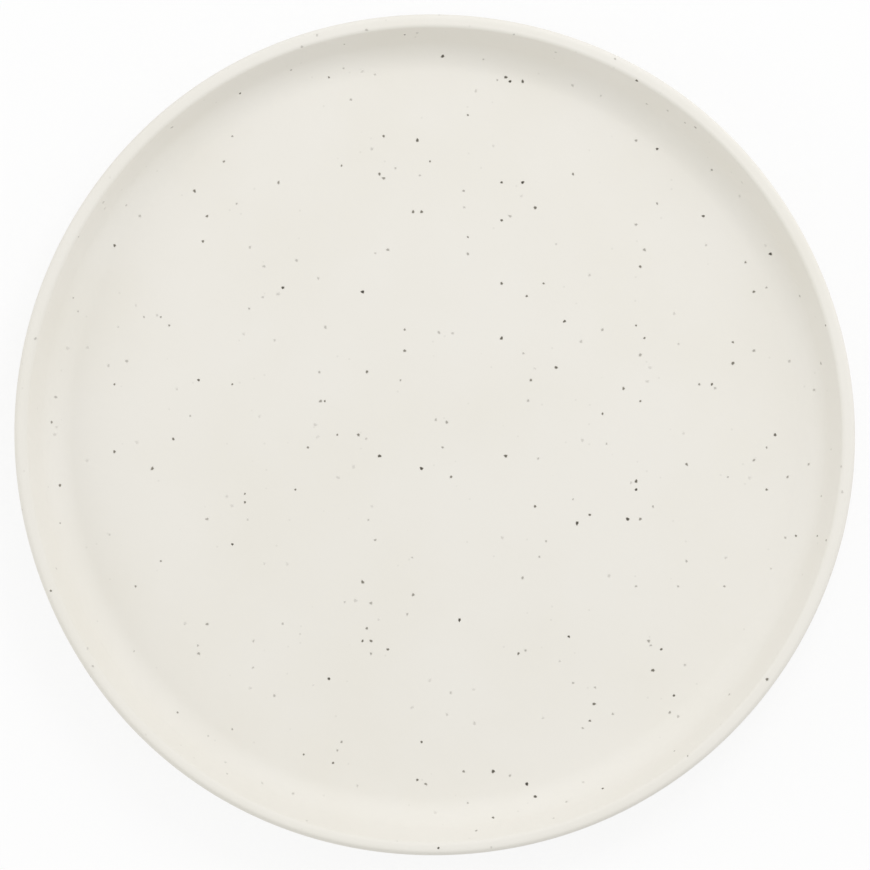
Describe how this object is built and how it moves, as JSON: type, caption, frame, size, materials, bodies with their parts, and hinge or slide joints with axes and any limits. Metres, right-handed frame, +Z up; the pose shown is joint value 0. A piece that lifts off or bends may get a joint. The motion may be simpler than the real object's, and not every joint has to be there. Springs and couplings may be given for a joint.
{
  "type": "coupe dinner plate",
  "caption": "Round stoneware dinner plate with a flat well, a short coved wall, a rounded lip and a bare foot ring, in speckled ivory glaze; holds a served meal.",
  "frame": {"origin": "on the table, under the middle of the plate", "axes": "+Z up along the plate's axis, +Y towards the top of the picture, +X towards its right"},
  "size_m": [0.27, 0.27, 0.023],
  "materials": {
    "bare_stoneware": "bare, fine-grained and dry",
    "ivory_glaze": "satin matt",
    "dark_iron_grain": "matt",
    "brown_iron_grain": "matt"
  },
  "bodies": {
    "root": {"clay_body": "bare_stoneware", "face_glaze": "ivory_glaze", "base_glaze": "ivory_glaze", "large_specks": "dark_iron_grain", "small_specks": "brown_iron_grain", "outside_specks": "brown_iron_grain"}
  },
  "joints": []
}
